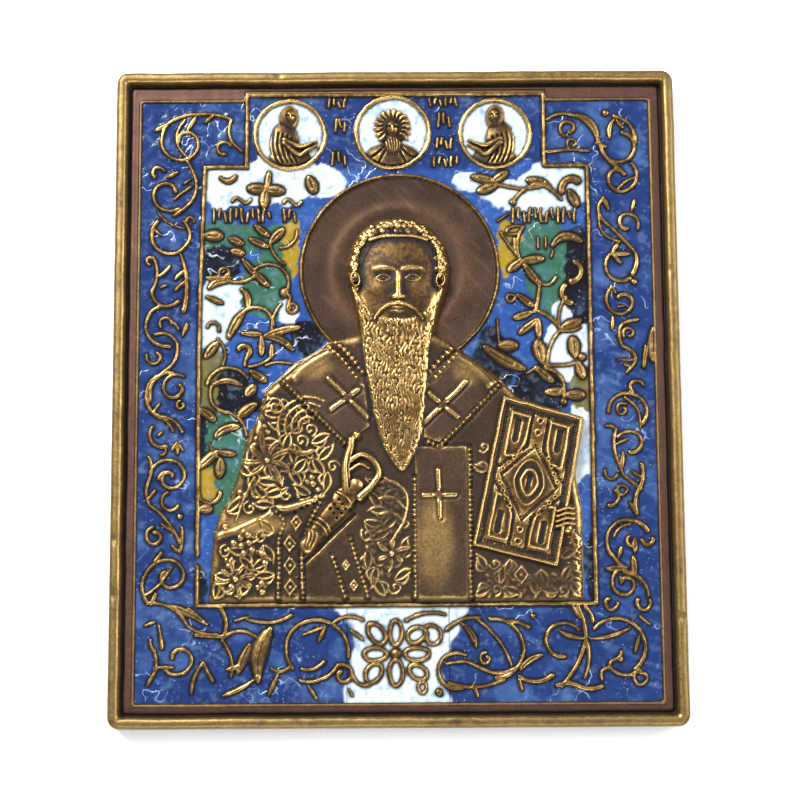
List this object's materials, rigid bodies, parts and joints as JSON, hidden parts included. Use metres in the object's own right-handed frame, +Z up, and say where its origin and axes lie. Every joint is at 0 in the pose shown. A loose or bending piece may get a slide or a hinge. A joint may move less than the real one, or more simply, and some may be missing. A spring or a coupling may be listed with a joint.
{
  "type": "travel icon",
  "caption": "Small cast brass icon with fired enamel: a haloed, bearded saint in half length holds a book and blesses, in a scrollwork border with a raised rim and a flat back.",
  "frame": {"origin": "middle of the flat back, which the icon lies on", "axes": "+Z up out of the picture, +Y towards the picture's top, +X towards its right-hand side as seen"},
  "size_m": [0.096, 0.112, 0.0062],
  "materials": {
    "brass": "worn bright on the high points, brown patina in the hollows",
    "enamel_blue": "glossy royal blue vitreous enamel with paler streaks",
    "enamel_white": "glossy white vitreous enamel with grey specks",
    "enamel_field": "glossy vitreous enamel in patches of blue, green, white, black and yellow"
  },
  "bodies": {
    "root": {"cast_plate": "brass", "enamel_border_left": "enamel_blue", "enamel_border_centre": "enamel_white", "enamel_border_right": "enamel_blue", "enamel_field_left": "enamel_field", "enamel_field_right": "enamel_field", "enamel_medallion_left": "enamel_white", "enamel_medallion_centre": "enamel_white", "enamel_medallion_right": "enamel_white", "enamel_petal_top": "enamel_white", "enamel_petal_bottom": "enamel_white", "enamel_petal_left": "enamel_white", "enamel_petal_right": "enamel_white"}
  },
  "joints": []
}
